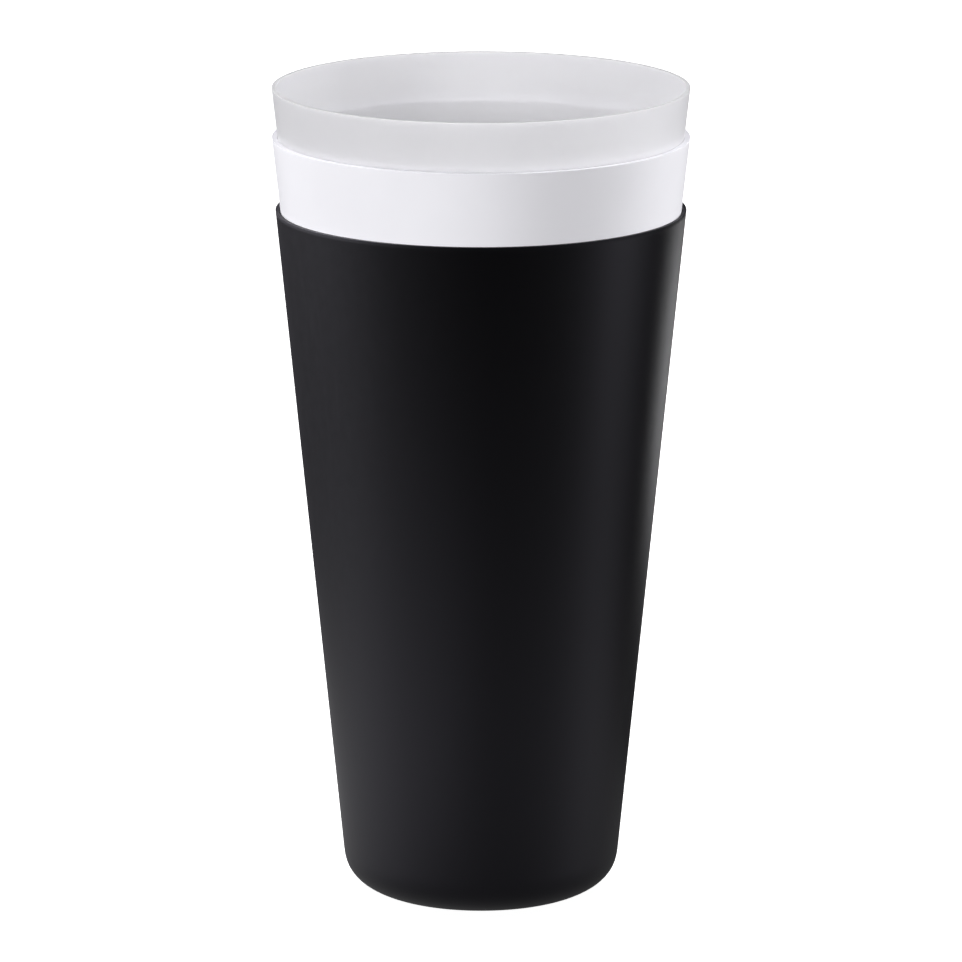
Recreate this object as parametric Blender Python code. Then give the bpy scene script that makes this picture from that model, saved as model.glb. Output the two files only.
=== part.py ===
"""Nesting tumbler set: three tapered drinking tumblers that stack one inside another.

Each tumbler is a single thin-walled moulding: a conical wall with a rounded lip,
a large fillet round the base, a foot ring to stand on and a shallow recess inside
the ring with the gate mark at its centre. The outer tumbler is a little shorter
than the other two, and every tumbler stands one nesting pitch above the one it
sits in, so the three rims show as steps. +Z is the common axis, and the origin is
the centre of the ring that the outer tumbler stands on.
"""

import math

import bmesh
import bpy

# Driving dimensions, in metres.
RIM_RADIUS = 0.0425         # outside of the lip of the two tall tumblers
TALL_HEIGHT = 0.1476        # middle and inner tumblers, foot to lip
SHORT_HEIGHT = 0.1428       # outer tumbler, foot to lip
NEST_PITCH = 0.0102         # each foot above the foot of the tumbler outside it
CONE_RADIUS = 0.02745       # the wall's cone, carried down to the level of the foot
WALL = 0.0007               # wall thickness, square to the wall
FLARE_LENGTH = 0.025        # stretch below a tall lip where the wall opens out
FLARE_RISE = 0.0002         # how far that stretch opens out at the lip
BASE_FILLET = 0.011         # outside radius between the wall and the foot
FLOOR_FILLET = 0.0095       # inside radius between the wall and the floor
FLOOR_THICKNESS = 0.0012
FOOT_WIDTH = 0.0035         # radial width of the flat ring that touches the table
RECESS_DEPTH = 0.0008       # underside inside the foot ring
RECESS_SLOPE = 0.0006       # radial run of the step into the recess
GATE_RADIUS = 0.0014        # injection gate mark at the centre of the recess
GATE_HEIGHT = 0.0004

# Fineness of the turned surfaces.
SEGMENTS = 64
FILLET_STEPS = 6
FLARE_STEPS = 3
LIP_STEPS = 4
WELD_DISTANCE = 0.000005

# Worked out from the sizes above.
TAPER = (RIM_RADIUS - FLARE_RISE - CONE_RADIUS) / TALL_HEIGHT
TAPER_ANGLE = math.atan(TAPER)
FLOOR_LEVEL = RECESS_DEPTH + FLOOR_THICKNESS

# Name, height, stretch that flares, colour, roughness.
OUTER = ("outer_tumbler", SHORT_HEIGHT, False, (0.010, 0.010, 0.011, 1.0), 0.45)
MIDDLE = ("middle_tumbler", TALL_HEIGHT, True, (0.84, 0.834, 0.876, 1.0), 0.38)
INNER = ("inner_tumbler", TALL_HEIGHT, True, (0.70, 0.694, 0.731, 1.0), 0.55)


def clear_scene():
    """Remove every object and the meshes and materials that they used."""
    for item in list(bpy.data.objects):
        bpy.data.objects.remove(item, do_unlink=True)
    for mesh in list(bpy.data.meshes):
        bpy.data.meshes.remove(mesh)
    for material in list(bpy.data.materials):
        bpy.data.materials.remove(material)


def arc(centre, radius, start, end, steps):
    """Points on an arc in the profile's plane, both ends included."""
    points = []
    for step in range(steps + 1):
        angle = start + (end - start) * step / steps
        across = centre[0] + radius * math.cos(angle)
        up = centre[1] + radius * math.sin(angle)
        points.append((across, up))
    return points


def wall_radius(level, height, flared):
    """Outside radius of the wall at a level above the foot."""
    radius = CONE_RADIUS + TAPER * level
    above = level - (height - FLARE_LENGTH)
    if flared and above > 0.0:
        radius += FLARE_RISE * (above / FLARE_LENGTH) ** 2
    return radius


def wall_levels(height, flared):
    """Levels where the wall needs a point between its fillet and its lip."""
    top = height - WALL / 2.0
    if not flared:
        return [top]
    start = height - FLARE_LENGTH
    return [start + (top - start) * step / FLARE_STEPS for step in range(FLARE_STEPS + 1)]


def fillet_centre(radius, level, inset):
    """Centre of a fillet that touches the wall's cone, moved in by inset, and a level."""
    up = level + radius
    cone = CONE_RADIUS - inset / math.cos(TAPER_ANGLE) + TAPER * up
    return (cone - radius / math.cos(TAPER_ANGLE), up)


def underside_profile(foot_outer):
    """Gate mark, recess, step and foot ring, from the axis outwards."""
    foot_inner = foot_outer - FOOT_WIDTH
    return [
        (0.0, RECESS_DEPTH - GATE_HEIGHT),
        (GATE_RADIUS, RECESS_DEPTH - GATE_HEIGHT),
        (GATE_RADIUS, RECESS_DEPTH),
        (foot_inner - RECESS_SLOPE, RECESS_DEPTH),
        (foot_inner, 0.0),
    ]


def tumbler_profile(height, flared):
    """Half section of a tumbler, from the axis below to the axis above the floor."""
    outer_centre = fillet_centre(BASE_FILLET, 0.0, 0.0)
    inner_centre = fillet_centre(FLOOR_FILLET, FLOOR_LEVEL, WALL)
    inset = WALL / math.cos(TAPER_ANGLE)
    levels = wall_levels(height, flared)
    lip_centre = (wall_radius(height, height, flared) - WALL / 2.0, height - WALL / 2.0)

    profile = underside_profile(outer_centre[0])
    profile += arc(outer_centre, BASE_FILLET, -math.pi / 2.0, -TAPER_ANGLE, FILLET_STEPS)
    profile += [(wall_radius(level, height, flared), level) for level in levels[:-1]]
    profile += arc(lip_centre, WALL / 2.0, 0.0, math.pi, LIP_STEPS)
    profile += [(wall_radius(level, height, flared) - inset, level) for level in reversed(levels[:-1])]
    profile += arc(inner_centre, FLOOR_FILLET, -TAPER_ANGLE, -math.pi / 2.0, FILLET_STEPS)
    profile.append((0.0, FLOOR_LEVEL))
    return profile


def turned_mesh(name, profile):
    """Spin a half section round +Z into one closed body."""
    shape = bmesh.new()
    ring = [shape.verts.new((across, 0.0, up)) for across, up in profile]
    edges = [shape.edges.new(pair) for pair in zip(ring, ring[1:])]
    bmesh.ops.spin(
        shape,
        geom=ring + edges,
        cent=(0.0, 0.0, 0.0),
        axis=(0.0, 0.0, 1.0),
        angle=2.0 * math.pi,
        steps=SEGMENTS,
    )
    bmesh.ops.remove_doubles(shape, verts=shape.verts[:], dist=WELD_DISTANCE)
    bmesh.ops.recalc_face_normals(shape, faces=shape.faces[:])
    mesh = bpy.data.meshes.new(name)
    shape.to_mesh(mesh)
    shape.free()
    mesh.shade_smooth()
    mesh.set_sharp_from_angle(angle=math.radians(40.0))
    return mesh


def moulded_plastic(name, colour, roughness):
    """Material of one tumbler."""
    material = bpy.data.materials.new(name)
    material.use_nodes = True
    shader = material.node_tree.nodes["Principled BSDF"]
    shader.inputs["Base Color"].default_value = colour
    shader.inputs["Roughness"].default_value = roughness
    shader.inputs["Metallic"].default_value = 0.0
    material.diffuse_color = colour
    return material


def make_tumbler(design, foot_level):
    """One tumbler with its foot at a level on the common axis."""
    name, height, flared, colour, roughness = design
    mesh = turned_mesh(name, tumbler_profile(height, flared))
    mesh.materials.append(moulded_plastic(name + "_plastic", colour, roughness))
    tumbler = bpy.data.objects.new(name, mesh)
    tumbler.location = (0.0, 0.0, foot_level)
    bpy.context.scene.collection.objects.link(tumbler)
    return tumbler


def main():
    clear_scene()
    for place, design in enumerate((OUTER, MIDDLE, INNER)):
        make_tumbler(design, place * NEST_PITCH)


main()
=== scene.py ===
import math

import bmesh
import bpy
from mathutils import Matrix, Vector


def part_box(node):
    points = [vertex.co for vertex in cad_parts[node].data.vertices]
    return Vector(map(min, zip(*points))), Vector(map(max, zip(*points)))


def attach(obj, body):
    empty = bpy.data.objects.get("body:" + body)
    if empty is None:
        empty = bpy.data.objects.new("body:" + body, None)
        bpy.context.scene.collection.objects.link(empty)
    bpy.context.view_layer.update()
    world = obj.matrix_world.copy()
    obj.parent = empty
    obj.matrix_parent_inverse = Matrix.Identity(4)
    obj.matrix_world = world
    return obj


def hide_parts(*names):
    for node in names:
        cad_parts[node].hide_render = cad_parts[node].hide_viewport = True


# Sizes of the mouldings, in metres. Heights, rims and places come from the frame.
CONE_RADIUS = 0.02745        # wall's cone, carried down to the level of the foot
WALL = 0.0007                # wall thickness, square to the wall
FLARE_LENGTH = 0.025         # stretch below a tall lip where the wall opens out
FLARE_RISE = 0.0002          # how far it opens out at the lip
BASE_FILLET = 0.011          # outside, between wall and foot
FLOOR_FILLET = 0.0095        # inside, between wall and floor
FLOOR_LEVEL = 0.002          # inside floor above the foot
LIP_BEADS = {                # how far each lip thickens inward, towards the moulding inside it
    "outer_moulding": 0.00004,
    "middle_moulding": 0.00042,
    "inner_moulding": 0.00025,
}
LIP_BEAD_LENGTH = 0.003      # stretch below the lip where it does
LIP_ROUND = 0.00005          # rounding of the lip's two edges
FOOT_WIDTH = 0.0035          # flat ring that touches the table
FOOT_ROUND = 0.0003
RECESS_DEPTH = 0.0008        # underside inside the foot ring
RECESS_SLOPE = 0.0006        # run of the step into the recess
GATE_RADIUS = 0.0014         # injection gate mark
GATE_HEIGHT = 0.0004
GATE_SLOPE = 0.00015         # run of its side
GATE_EDGE_ROUND = 0.00015
GATE_ROOT_ROUND = 0.00012
TURN_MARKS = (0.0052, 0.0094)  # radii of the two fine rings turned in the recess
TURN_MARK_DEPTH = 0.00008
TURN_MARK_WIDTH = 0.0005

# Fineness of the turned surfaces.
SEGMENTS = 192
ARC_STEPS = 8
FILLET_STEPS = 18
WALL_STEPS = 12
BEAD_STEPS = 5
FILLET_BULGE = 0.045         # the outside fillet stands this much fuller than a true arc
BULGE_SHIFT = 1.6            # above 1, the fullest place is nearer the wall than the foot
SUPPORT = 0.12               # extra ring beside each rounding, as a share of its radius
WELD_DISTANCE = 0.000002

# Plastics: the colour drifts between clear and cloudy, and the grey lets a little light through.
BLACK_LOOK = {
    "clear": (0.0100, 0.0100, 0.0112, 1.0),
    "cloudy": (0.0090, 0.0090, 0.0102, 1.0),
    "roughness": 0.45,
    "settings": {"Specular IOR Level": 0.5, "Specular Tint": (0.86, 0.83, 1.0, 1.0)},
}
WHITE_LOOK = {
    "clear": (0.84, 0.834, 0.876, 1.0),
    "cloudy": (0.82, 0.814, 0.856, 1.0),
    "roughness": 0.38,
    "settings": {"Specular IOR Level": 0.4},
}
GREY_LOOK = {
    "clear": (0.702, 0.696, 0.733, 1.0),
    "cloudy": (0.682, 0.676, 0.713, 1.0),
    "roughness": 0.55,
    "settings": {
        "Specular IOR Level": 0.3,
        "Subsurface Weight": 1.0,
        "Subsurface Radius": (1.0, 1.0, 1.0),
        "Subsurface Scale": 0.003,
    },
}

# Surface detail. A noise is (scale, detail), a share is the stretch of its values that counts,
# and a bump is (strength, height).
CLOUD_NOISE = (55.0, 3.0)    # slow drift of the colour
CLOUD_SHARE = (0.35, 0.65)
PATCH_NOISE = (900.0, 4.0)   # patches of scuffing on the foot
PATCH_SHARE = (0.45, 0.7)
STREAK_NOISE = (700.0, 3.0)  # upright flow streaks
STREAK_SHARE = (0.5, 0.75)
STREAK_SHRINK = 0.04         # the streaks are this much longer than wide
STREAK_ROUGHNESS = 0.012
MOTTLE_NOISE = (420.0, 2.0)  # uneven gloss
MOTTLE_SHARE = (0.3, 0.7)
MOTTLE_ROUGHNESS = 0.006
WEAR_HEIGHT = 0.0012         # scuffs fade out this far above the foot
WEAR_GAIN = 0.9              # scuffed colour, as a share of the clear one, plus a lift
WEAR_LIFT = 0.03
WEAR_ROUGHNESS = 0.2
LIP_MATT_HEIGHT = 0.0008     # the lip is matt this far down, where the mould parts
LIP_MATT = 0.15              # roughness added there
GRAIN_NOISE = (3200.0, 2.0)  # fine moulded texture
GRAIN_BUMP = (0.2, 0.000006)
STREAK_BUMP = (0.06, 0.000006)
SINK_NOISE = (38.0, 1.0)     # faint sink marks in the wall
SINK_BUMP = (0.2, 0.00004)

# Camera.
VIEW_DISTANCE = 1.70
VIEW_ELEVATION = math.radians(12.63)
VIEW_LEVEL = 0.0860          # height of the point in the middle of the picture
SENSOR_WIDTH = 36.0          # millimetres
FOCAL_LENGTH = 310.453       # millimetres

# Mouldings that a light reaches.
GREY = ("inner_moulding",)
WHITE = ("middle_moulding",)
BLACK = ("outer_moulding",)
PALE = WHITE + GREY

# Softboxes that light the matte surfaces: azimuth and elevation in degrees (azimuth 0 is the
# camera's side), power in watts, and the mouldings that each one reaches.
SOFTBOX_DISTANCE = 1.2
SOFTBOX_SIDE = 0.65
SOFTBOXES = {
    "grey_key": (-60.0, 30.0, 14.8, GREY),
    "grey_front": (30.0, 15.0, 9.65, GREY),
    "grey_right": (60.0, 30.0, 7.2, GREY),
    "grey_back": (170.0, 15.0, 1.9, GREY),
    "white_key": (-60.0, 22.0, 14.2, WHITE),
    "white_front": (30.0, 15.0, 9.35, WHITE),
    "white_left": (-120.0, 35.0, 11.1, WHITE),
    "white_right": (115.0, 30.0, 18.8, WHITE),
    "black_fill": (-15.0, 30.0, 2.0, BLACK),
    "black_back": (165.0, 20.0, 6.0, BLACK),
    "black_side": (90.0, 20.0, 4.0, BLACK),
}

# Upright panels that show only in the gloss: azimuth, distance, lowest and highest level,
# width, power, and the mouldings that each one reaches.
PANELS = {
    "left_sheen": (-100.0, 0.825, 0.34, 0.80, 0.60, 33.0, BLACK),
    "right_band": (83.0, 1.2, 0.03, 0.16, 0.10, 2.65, BLACK),
    "right_edge": (144.0, 0.30, 0.005, 0.085, 0.045, 0.045, BLACK),
    "pale_sheen": (-75.0, 0.9, 0.15, 0.85, 0.60, 2.6, PALE),
}

# Paper that the stack stands on, and the light above it.
FLOOR_REACH = 6.0            # half the side of the sheet
FLOOR_CELLS = 8
FLOOR_DROP = 0.0001          # the paper lies this far below the foot ring
FLOOR_PALE = (0.90, 0.90, 0.90, 1.0)
FLOOR_SHADE = (0.88, 0.88, 0.88, 1.0)
FLOOR_NOISE = (6.0, 2.0)
FLOOR_ROUGHNESS = 0.9
FLOOR_GLOW = 0.985           # keeps the paper pale where the stack shades it
FLOOR_LIGHT_HEIGHT = 1.5
FLOOR_LIGHT_SIDE = 2.0
FLOOR_LIGHT_POWER = 40.0

# Glowing card on the floor round the stack, which is no lamp, seen only in the gloss as a painted
# reflection.
CARD_INNER = 0.019
CARD_OUTER = 0.30
CARD_SEGMENTS = 64
CARD_LEVEL = 0.00005
CARD_FRONT = 0.33            # glow of the half on the camera's side
CARD_LEFT = 0.40             # glow added on the left half
CARD_NEAR = 0.5              # share of the glow beside the foot
CARD_RISE = (0.03, 0.10)     # the glow rises to full between these radii
CARD_FALL = (0.13, 0.26)     # and falls to nothing between these
CARD_FRONT_EDGE = (0.00, 0.09)  # the front glow ends between these places along Y
CARD_LEFT_EDGE = (-0.05, 0.01)  # the left glow ends between these places along X

BLACKEST = (0.0, 0.0, 0.0, 1.0)
WHITEST = (1.0, 1.0, 1.0, 1.0)

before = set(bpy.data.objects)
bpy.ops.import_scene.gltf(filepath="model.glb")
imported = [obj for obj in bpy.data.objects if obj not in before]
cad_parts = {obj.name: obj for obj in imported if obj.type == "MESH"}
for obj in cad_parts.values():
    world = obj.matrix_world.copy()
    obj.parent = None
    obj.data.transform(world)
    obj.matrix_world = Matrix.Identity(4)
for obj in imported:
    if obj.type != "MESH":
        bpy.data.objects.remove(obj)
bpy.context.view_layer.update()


def corner_arc(before, corner, after, radius, steps, bulge):
    """Points of the arc that rounds a corner, with a support point on each side of it."""
    back = (before - corner).normalized()
    ahead = (after - corner).normalized()
    half = back.angle(ahead) / 2.0
    reach = radius / math.tan(half)
    centre = corner + (back + ahead).normalized() * (radius / math.sin(half))
    first = corner + back * reach
    last = corner + ahead * reach
    start = first - centre
    sweep = math.pi - 2.0 * half
    turn = 1.0 if start.x * (last - centre).y - start.y * (last - centre).x > 0.0 else -1.0
    points = [first + back * radius * SUPPORT]
    for step in range(steps + 1):
        angle = turn * sweep * step / steps
        across = start.x * math.cos(angle) - start.y * math.sin(angle)
        up = start.x * math.sin(angle) + start.y * math.cos(angle)
        fuller = 1.0 + bulge * math.sin(math.pi * (step / steps) ** BULGE_SHIFT) ** 2
        points.append(centre + Vector((across, up)) * fuller)
    points.append(last + ahead * radius * SUPPORT)
    return points


def rounded(corners):
    """Polyline through (radius, level, rounding) corners, each rounded where asked."""
    line = []
    for place, (across, up, rounding) in enumerate(corners):
        corner = Vector((across, up))
        if rounding == 0.0:
            line.append(corner)
            continue
        after = Vector(corners[place + 1][:2])
        steps = FILLET_STEPS if rounding in (BASE_FILLET, FLOOR_FILLET) else ARC_STEPS
        bulge = FILLET_BULGE if rounding == BASE_FILLET else 0.0
        line += corner_arc(line[-1], corner, after, rounding, steps, bulge)
    return line


def stretch_levels(height, length, steps):
    """Even levels from the start of a stretch below the lip up to just short of the lip."""
    return [height - length * (1.0 - step / steps) for step in range(steps)]


def underside_corners(foot_inner):
    """Gate mark, turned rings, recess and the inner edge of the foot ring."""
    gate_top = RECESS_DEPTH - GATE_HEIGHT
    corners = [
        (0.0, gate_top, 0.0),
        (GATE_RADIUS, gate_top, GATE_EDGE_ROUND),
        (GATE_RADIUS + GATE_SLOPE, RECESS_DEPTH, GATE_ROOT_ROUND),
    ]
    for mark in TURN_MARKS:
        corners.append((mark - TURN_MARK_WIDTH / 2.0, RECESS_DEPTH, 0.0))
        corners.append((mark, RECESS_DEPTH + TURN_MARK_DEPTH, 0.0))
        corners.append((mark + TURN_MARK_WIDTH / 2.0, RECESS_DEPTH, 0.0))
    corners.append((foot_inner - RECESS_SLOPE, RECESS_DEPTH, FOOT_ROUND))
    corners.append((foot_inner, 0.0, FOOT_ROUND))
    return corners


def tumbler_line(rim, height, flared, bead):
    """Half section of a tumbler that stands at level 0, from the axis to the axis."""
    rise = FLARE_RISE if flared else 0.0
    taper = (rim - rise - CONE_RADIUS) / height
    lean = math.atan(taper)
    inset = WALL / math.cos(lean)

    def wall(level):
        above = max(0.0, level - (height - FLARE_LENGTH))
        return CONE_RADIUS + taper * level + rise * (above / FLARE_LENGTH) ** 2

    def bore(level):
        above = max(0.0, level - (height - LIP_BEAD_LENGTH))
        return wall(level) - inset - bead * (above / LIP_BEAD_LENGTH) ** 2

    foot_outer = CONE_RADIUS + taper * BASE_FILLET - BASE_FILLET / math.cos(lean)
    outside = stretch_levels(height, FLARE_LENGTH, WALL_STEPS)
    beaded = stretch_levels(height, LIP_BEAD_LENGTH, BEAD_STEPS)
    inside = [level for level in outside if level < beaded[0]] + beaded

    corners = underside_corners(foot_outer - FOOT_WIDTH)
    corners.append((CONE_RADIUS, 0.0, BASE_FILLET))
    corners += [(wall(level), level, 0.0) for level in outside]
    corners.append((wall(height), height, LIP_ROUND))
    corners.append((bore(height), height, LIP_ROUND))
    corners += [(bore(level), level, 0.0) for level in reversed(inside)]
    corners.append((bore(FLOOR_LEVEL), FLOOR_LEVEL, FLOOR_FILLET))
    corners.append((0.0, FLOOR_LEVEL, 0.0))
    return rounded(corners)


def new_object(name, shape):
    """Object in the scene made from a bmesh, which is then let go."""
    mesh = bpy.data.meshes.new(name)
    shape.to_mesh(mesh)
    shape.free()
    made = bpy.data.objects.new(name, mesh)
    bpy.context.scene.collection.objects.link(made)
    return made


def turned(name, line, foot_level):
    """Closed surface of revolution round +Z, with its foot at a level."""
    shape = bmesh.new()
    ring = [shape.verts.new((point.x, 0.0, point.y + foot_level)) for point in line]
    edges = [shape.edges.new(pair) for pair in zip(ring, ring[1:])]
    bmesh.ops.spin(
        shape,
        geom=ring + edges,
        cent=(0.0, 0.0, 0.0),
        axis=(0.0, 0.0, 1.0),
        angle=2.0 * math.pi,
        steps=SEGMENTS,
    )
    bmesh.ops.remove_doubles(shape, verts=shape.verts[:], dist=WELD_DISTANCE)
    bmesh.ops.recalc_face_normals(shape, faces=shape.faces[:])
    piece = new_object(name, shape)
    piece.data.shade_smooth()
    return piece


class Nodes:
    """A new material, with a short way to add and join its shader nodes."""

    def __init__(self, name):
        self.material = bpy.data.materials.new(name)
        self.material.use_nodes = True
        self.tree = self.material.node_tree
        self.shader = self.tree.nodes["Principled BSDF"]
        self.place = self.add("ShaderNodeTexCoord").outputs["Object"]

    def add(self, kind, **settings):
        node = self.tree.nodes.new(kind)
        for key, value in settings.items():
            setattr(node, key, value)
        return node

    def give(self, socket, value):
        """Join another node's output to a socket, or set it to a plain value."""
        if isinstance(value, bpy.types.NodeSocket):
            self.tree.links.new(value, socket)
        else:
            socket.default_value = value

    def surface(self, name, value):
        """Give the shader itself a value."""
        self.give(self.shader.inputs[name], value)

    def noise(self, kind, vector=None):
        node = self.add("ShaderNodeTexNoise")
        node.inputs["Scale"].default_value, node.inputs["Detail"].default_value = kind
        self.give(node.inputs["Vector"], vector or self.place)
        return node.outputs["Fac"]

    def along(self, axis):
        node = self.add("ShaderNodeSeparateXYZ")
        self.give(node.inputs["Vector"], self.place)
        return node.outputs[axis]

    def from_axis(self):
        node = self.add("ShaderNodeVectorMath", operation="LENGTH")
        self.give(node.inputs[0], self.place)
        return node.outputs["Value"]

    def upright(self, shrink):
        """The same place with its height shrunk, so that a noise runs in upright streaks."""
        node = self.add("ShaderNodeMapping")
        self.give(node.inputs["Scale"], (1.0, 1.0, shrink))
        self.give(node.inputs["Vector"], self.place)
        return node.outputs["Vector"]

    def math(self, operation, first, second):
        node = self.add("ShaderNodeMath", operation=operation)
        self.give(node.inputs[0], first)
        self.give(node.inputs[1], second)
        return node.outputs["Value"]

    def mix(self, factor, first, second):
        node = self.add("ShaderNodeMix", data_type="RGBA")
        self.give(node.inputs["Factor"], factor)
        self.give(node.inputs["A"], first)
        self.give(node.inputs["B"], second)
        return node.outputs["Result"]

    def spread(self, value, start, stop, low, high):
        """Value carried from the stretch start..stop to low..high, and held at its ends."""
        node = self.add("ShaderNodeMapRange", clamp=True)
        self.give(node.inputs["Value"], value)
        self.give(node.inputs["From Min"], start)
        self.give(node.inputs["From Max"], stop)
        self.give(node.inputs["To Min"], low)
        self.give(node.inputs["To Max"], high)
        return node.outputs["Result"]

    def bump(self, height, relief, below=None):
        node = self.add("ShaderNodeBump")
        node.inputs["Strength"].default_value, node.inputs["Distance"].default_value = relief
        self.give(node.inputs["Height"], height)
        if below:
            self.give(node.inputs["Normal"], below)
        return node.outputs["Normal"]


def plastic(name, look, foot, lip):
    """Moulded plastic: cloudy tone, flow streaks, fine grain, scuffed foot and matt lip."""
    nodes = Nodes(name)
    level = nodes.along("Z")

    cloud = nodes.spread(nodes.noise(CLOUD_NOISE), *CLOUD_SHARE, 0.0, 1.0)
    wear = nodes.spread(level, foot + WEAR_HEIGHT, foot, 0.0, 1.0)
    patches = nodes.spread(nodes.noise(PATCH_NOISE), *PATCH_SHARE, 0.0, 1.0)
    scuff = nodes.math("MULTIPLY", wear, patches)
    worn = [min(1.0, channel * WEAR_GAIN + WEAR_LIFT) for channel in look["clear"][:3]] + [1.0]
    tone = nodes.mix(cloud, look["clear"], look["cloudy"])
    nodes.surface("Base Color", nodes.mix(scuff, tone, worn))

    streaks = nodes.noise(STREAK_NOISE, nodes.upright(STREAK_SHRINK))
    smooth = look["roughness"] - MOTTLE_ROUGHNESS
    rough = look["roughness"] + MOTTLE_ROUGHNESS
    mottled = nodes.spread(nodes.noise(MOTTLE_NOISE), *MOTTLE_SHARE, smooth, rough)
    streaky = nodes.spread(streaks, *STREAK_SHARE, 0.0, STREAK_ROUGHNESS)
    matt = nodes.spread(level, lip - LIP_MATT_HEIGHT, lip - LIP_MATT_HEIGHT / 2.0, 0.0, LIP_MATT)
    rubbed = nodes.math("MULTIPLY", scuff, WEAR_ROUGHNESS)
    total = mottled
    for added in (streaky, matt, rubbed):
        total = nodes.math("ADD", total, added)
    nodes.surface("Roughness", total)

    grain = nodes.bump(nodes.noise(GRAIN_NOISE), GRAIN_BUMP)
    flow = nodes.bump(streaks, STREAK_BUMP, grain)
    nodes.surface("Normal", nodes.bump(nodes.noise(SINK_NOISE), SINK_BUMP, flow))
    for setting, value in look["settings"].items():
        nodes.surface(setting, value)
    return nodes.material


def make_tumbler(name, node, body, slot, flared, look):
    """Turned moulding in its own plastic, in the place of a CAD solid."""
    low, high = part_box(node)
    line = tumbler_line(high.x, high.z - low.z, flared, LIP_BEADS[name])
    piece = turned(name, line, low.z)
    piece.data.materials.append(plastic(slot, look, low.z, high.z))
    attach(piece, body)
    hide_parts(node)
    return piece


def make_floor():
    """Plain white paper, which adds no light to the stack and doesn't show in its gloss."""
    shape = bmesh.new()
    bmesh.ops.create_grid(shape, x_segments=FLOOR_CELLS, y_segments=FLOOR_CELLS, size=FLOOR_REACH)
    bmesh.ops.translate(shape, verts=shape.verts[:], vec=(0.0, 0.0, -FLOOR_DROP))
    floor = new_object("floor", shape)
    nodes = Nodes("floor_paper")
    nodes.surface("Base Color", nodes.mix(nodes.noise(FLOOR_NOISE), FLOOR_PALE, FLOOR_SHADE))
    nodes.surface("Roughness", FLOOR_ROUGHNESS)
    nodes.surface("Emission Color", WHITEST)
    nodes.surface("Emission Strength", FLOOR_GLOW)
    floor.data.materials.append(nodes.material)
    floor.visible_glossy = False
    floor.visible_diffuse = False
    return floor


def make_card():
    """Dim glowing ring on the floor round the stack, seen only in the gloss of the walls."""
    shape = bmesh.new()
    loops = []
    for radius in (CARD_INNER, CARD_OUTER):
        loops += bmesh.ops.create_circle(shape, segments=CARD_SEGMENTS, radius=radius)["verts"]
    edges = {edge for vert in loops for edge in vert.link_edges}
    bmesh.ops.bridge_loops(shape, edges=list(edges))
    bmesh.ops.translate(shape, verts=shape.verts[:], vec=(0.0, 0.0, CARD_LEVEL))
    card = new_object("card", shape)
    nodes = Nodes("card_glow")
    nodes.surface("Base Color", BLACKEST)
    nodes.surface("Specular IOR Level", 0.0)
    # The card is black and glows though it is no lamp: a painted reflection in the walls' gloss,
    # brighter on the front and left halves.
    nodes.surface("Emission Color", WHITEST)
    reach = nodes.from_axis()
    rise = nodes.spread(reach, *CARD_RISE, CARD_NEAR, 1.0)
    fall = nodes.spread(reach, *CARD_FALL, 1.0, 0.0)
    front = nodes.spread(nodes.along("Y"), *CARD_FRONT_EDGE, CARD_FRONT, 0.0)
    left = nodes.spread(nodes.along("X"), *CARD_LEFT_EDGE, CARD_LEFT, 0.0)
    sides = nodes.math("ADD", front, left)
    nodes.surface("Emission Strength", nodes.math("MULTIPLY", sides, nodes.math("MULTIPLY", rise, fall)))
    card.data.materials.append(nodes.material)
    card.visible_camera = False
    card.visible_diffuse = False
    card.visible_transmission = False
    card.visible_shadow = False


def heading(azimuth, elevation=0.0):
    """Unit vector from the stack towards an azimuth and elevation in degrees."""
    turn = math.radians(azimuth)
    lift = math.radians(elevation)
    return Vector((math.sin(turn) * math.cos(lift), -math.cos(turn) * math.cos(lift), math.sin(lift)))


def area_light(name, place, aim, width, height, power, reached):
    """Light turned from a place to another, out of the camera's sight, that reaches some objects."""
    lamp = bpy.data.lights.new(name, "AREA")
    lamp.shape = "RECTANGLE"
    lamp.size = width
    lamp.size_y = height
    lamp.energy = power
    light = bpy.data.objects.new(name, lamp)
    light.location = place
    light.rotation_euler = (aim - place).to_track_quat("-Z", "Y").to_euler()
    light.visible_camera = False
    bpy.context.scene.collection.objects.link(light)
    group = bpy.data.collections.new(name + "_reach")
    for item in reached:
        group.objects.link(item)
    light.light_linking.receiver_collection = group
    return light


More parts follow.
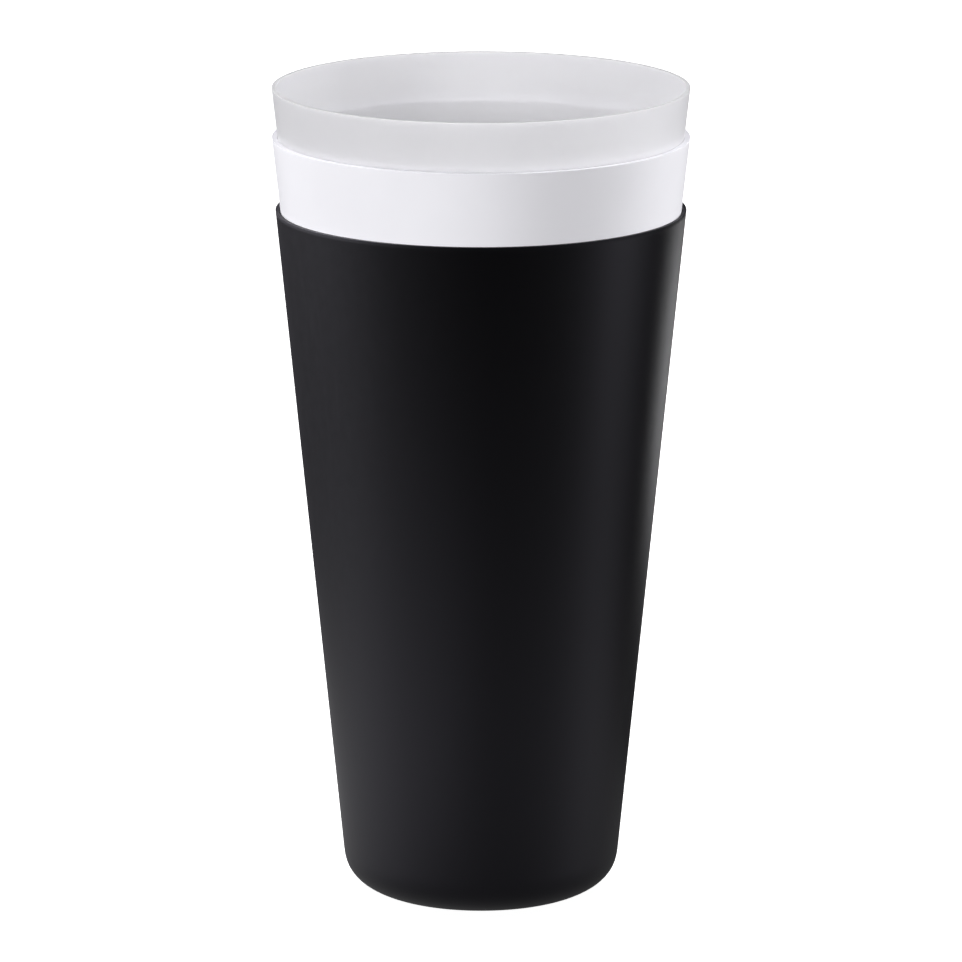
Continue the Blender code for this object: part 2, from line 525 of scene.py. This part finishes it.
def make_lights(pieces, floor):
    middle = Vector((0.0, 0.0, VIEW_LEVEL))
    for name, (azimuth, elevation, power, reach) in SOFTBOXES.items():
        place = middle + heading(azimuth, elevation) * SOFTBOX_DISTANCE
        reached = [pieces[piece] for piece in reach]
        light = area_light(name, place, middle, SOFTBOX_SIDE, SOFTBOX_SIDE, power, reached)
        light.visible_glossy = False
    for name, (azimuth, distance, bottom, top, width, power, reach) in PANELS.items():
        centre = Vector((0.0, 0.0, (bottom + top) / 2.0))
        place = centre + heading(azimuth) * distance
        reached = [pieces[piece] for piece in reach]
        light = area_light(name, place, centre, width, top - bottom, power, reached)
        light.visible_diffuse = False
        light.visible_transmission = False
    above = Vector((0.0, 0.0, FLOOR_LIGHT_HEIGHT))
    side = FLOOR_LIGHT_SIDE
    light = area_light("floor_light", above, middle, side, side, FLOOR_LIGHT_POWER, [floor])
    light.visible_glossy = False


def make_world():
    """White surroundings that the camera sees but that light nothing."""
    world = bpy.data.worlds.new("studio")
    bpy.context.scene.world = world
    world.use_nodes = True
    world.node_tree.nodes["Background"].inputs["Color"].default_value = WHITEST
    world.cycles_visibility.diffuse = False
    world.cycles_visibility.glossy = False
    world.cycles_visibility.transmission = False


def make_camera():
    """Camera on the -Y side, a little above the stack and aimed at its middle."""
    data = bpy.data.cameras.new("camera")
    data.sensor_width = SENSOR_WIDTH
    data.lens = FOCAL_LENGTH
    camera = bpy.data.objects.new("camera", data)
    aim = Vector((0.0, 0.0, VIEW_LEVEL))
    offset = Vector((0.0, -math.cos(VIEW_ELEVATION), math.sin(VIEW_ELEVATION)))
    camera.location = aim + offset * VIEW_DISTANCE
    camera.rotation_euler = (-offset).to_track_quat("-Z", "Y").to_euler()
    bpy.context.scene.collection.objects.link(camera)
    bpy.context.scene.camera = camera


make_camera()
outer = make_tumbler("outer_moulding", "outer_tumbler", "outer", "black_plastic", False, BLACK_LOOK)
middle = make_tumbler("middle_moulding", "middle_tumbler", "middle", "white_plastic", True, WHITE_LOOK)
inner = make_tumbler("inner_moulding", "inner_tumbler", "inner", "grey_plastic", True, GREY_LOOK)
floor = make_floor()
make_card()
make_lights({piece.name: piece for piece in (outer, middle, inner)}, floor)
make_world()
bpy.context.scene.view_settings.view_transform = "Standard"
